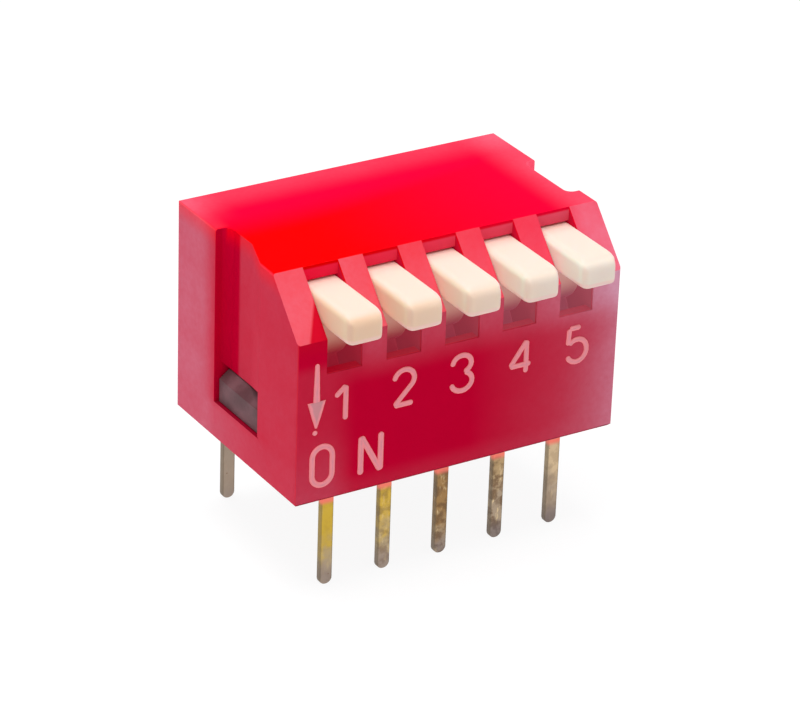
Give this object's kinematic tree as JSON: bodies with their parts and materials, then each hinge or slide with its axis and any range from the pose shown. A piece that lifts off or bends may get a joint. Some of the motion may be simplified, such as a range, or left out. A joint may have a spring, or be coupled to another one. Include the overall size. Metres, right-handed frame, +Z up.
{
  "type": "dip switch",
  "caption": "Piano-type DIP switch: rocking levers in a sloped front edge close leaf contacts between solder terminals that plug into a circuit board.",
  "frame": {"origin": "centre of the terminal pattern, on the plane where the cover sits on the circuit board", "axes": "+Z up, away from the board; +X along the row from switch 1 to switch 5; the levers stand out towards -Y"},
  "size_m": [0.0142, 0.0107, 0.013],
  "materials": {
    "cover": "red moulded plastic with a soft gloss",
    "base": "black moulded plastic",
    "lever": "cream moulded nylon, slightly waxy",
    "contact": "gold-plated spring bronze",
    "terminal": "plated bronze strip, gold near the body and dull grey at the tips",
    "marking": "pinkish-white printed ink"
  },
  "bodies": {
    "body": {"cover": "cover", "base": "base", "marking": "marking", "terminal_front_1": "terminal", "terminal_front_2": "terminal", "terminal_front_3": "terminal", "terminal_front_4": "terminal", "terminal_front_5": "terminal", "terminal_rear_1": "terminal", "terminal_rear_2": "terminal", "terminal_rear_3": "terminal", "terminal_rear_4": "terminal", "terminal_rear_5": "terminal"},
    "lever_1": {"lever_1": "lever"},
    "contact_1": {"contact_1": "contact"},
    "lever_2": {"lever_2": "lever"},
    "contact_2": {"contact_2": "contact"},
    "lever_3": {"lever_3": "lever"},
    "contact_3": {"contact_3": "contact"},
    "lever_4": {"lever_4": "lever"},
    "contact_4": {"contact_4": "contact"},
    "lever_5": {"lever_5": "lever"},
    "contact_5": {"contact_5": "contact"}
  },
  "joints": [
    {"name": "lever_1_rock", "type": "hinge", "parent": "body", "child": "lever_1", "pos_m": [-0.00508, -0.0023, 0.0065], "axis": [1, 0, 0], "range_deg": [0, 30]},
    {"name": "contact_1_press", "type": "hinge", "parent": "body", "child": "contact_1", "pos_m": [-0.00508, 0.0026, 0.0026], "axis": [1, 0, 0], "range_deg": [0, 4.6]},
    {"name": "lever_2_rock", "type": "hinge", "parent": "body", "child": "lever_2", "pos_m": [-0.00254, -0.0023, 0.0065], "axis": [1, 0, 0], "range_deg": [0, 30]},
    {"name": "contact_2_press", "type": "hinge", "parent": "body", "child": "contact_2", "pos_m": [-0.00254, 0.0026, 0.0026], "axis": [1, 0, 0], "range_deg": [0, 4.6]},
    {"name": "lever_3_rock", "type": "hinge", "parent": "body", "child": "lever_3", "pos_m": [0, -0.0023, 0.0065], "axis": [1, 0, 0], "range_deg": [0, 30]},
    {"name": "contact_3_press", "type": "hinge", "parent": "body", "child": "contact_3", "pos_m": [0, 0.0026, 0.0026], "axis": [1, 0, 0], "range_deg": [0, 4.6]},
    {"name": "lever_4_rock", "type": "hinge", "parent": "body", "child": "lever_4", "pos_m": [0.00254, -0.0023, 0.0065], "axis": [1, 0, 0], "range_deg": [0, 30]},
    {"name": "contact_4_press", "type": "hinge", "parent": "body", "child": "contact_4", "pos_m": [0.00254, 0.0026, 0.0026], "axis": [1, 0, 0], "range_deg": [0, 4.6]},
    {"name": "lever_5_rock", "type": "hinge", "parent": "body", "child": "lever_5", "pos_m": [0.00508, -0.0023, 0.0065], "axis": [1, 0, 0], "range_deg": [0, 30]},
    {"name": "contact_5_press", "type": "hinge", "parent": "body", "child": "contact_5", "pos_m": [0.00508, 0.0026, 0.0026], "axis": [1, 0, 0], "range_deg": [0, 4.6]}
  ],
  "couplings": [
    {"joint": "contact_1_press", "follows": "lever_1_rock", "ratio": 0.15333},
    {"joint": "contact_2_press", "follows": "lever_2_rock", "ratio": 0.15333},
    {"joint": "contact_3_press", "follows": "lever_3_rock", "ratio": 0.15333},
    {"joint": "contact_4_press", "follows": "lever_4_rock", "ratio": 0.15333},
    {"joint": "contact_5_press", "follows": "lever_5_rock", "ratio": 0.15333}
  ]
}
